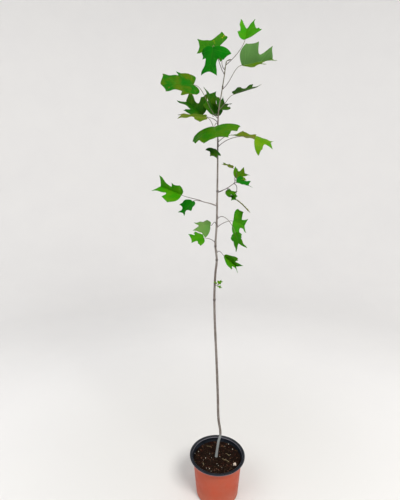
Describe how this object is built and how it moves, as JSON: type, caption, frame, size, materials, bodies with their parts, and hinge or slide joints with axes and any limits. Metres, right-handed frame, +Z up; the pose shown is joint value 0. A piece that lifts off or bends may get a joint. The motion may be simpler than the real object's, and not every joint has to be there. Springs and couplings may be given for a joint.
{
  "type": "tulip tree",
  "caption": "Young tulip tree: a slender swaying whip with large four-lobed leaves on long stalks, in a round lipped nursery pot.",
  "frame": {"origin": "middle of the pot's flat underside, on the floor it stands on", "axes": "+Z up along the trunk, +X to the right and -Y towards the front, as the plant is seen in the picture"},
  "size_m": [0.4359, 0.2453, 1.8027],
  "materials": {
    "pot_plastic": "smooth, satin",
    "compost": "loose and crumbly, matt",
    "bark": "thin smooth bark, matt",
    "young_bark": "young bark, satin",
    "leaf": "leaf surface, satin"
  },
  "bodies": {
    "root": {"pot": "pot_plastic", "compost": "compost", "trunk": "bark", "leaf_top_right": "leaf", "leaf_top_back": "leaf", "leaf_top_front": "leaf", "leaf_big_right": "leaf", "leaf_right_level": "leaf", "leaf_centre_small": "leaf", "leaf_centre_back": "leaf", "leaf_big_left": "leaf", "leaf_left_back": "leaf", "leaf_wide_front": "leaf", "leaf_left_level": "leaf", "leaf_right_short": "leaf", "leaf_right_hanging": "leaf", "leaf_small_front": "leaf", "leaf_hanging_right": "leaf", "leaf_pale_left": "leaf", "leaf_face_right": "leaf", "leaf_bright_left": "leaf", "leaf_low_right": "leaf", "side_shoot_right": "young_bark", "spray_right": "leaf", "side_shoot_left": "young_bark", "spray_left": "leaf", "sprig_low": "leaf"}
  },
  "joints": []
}
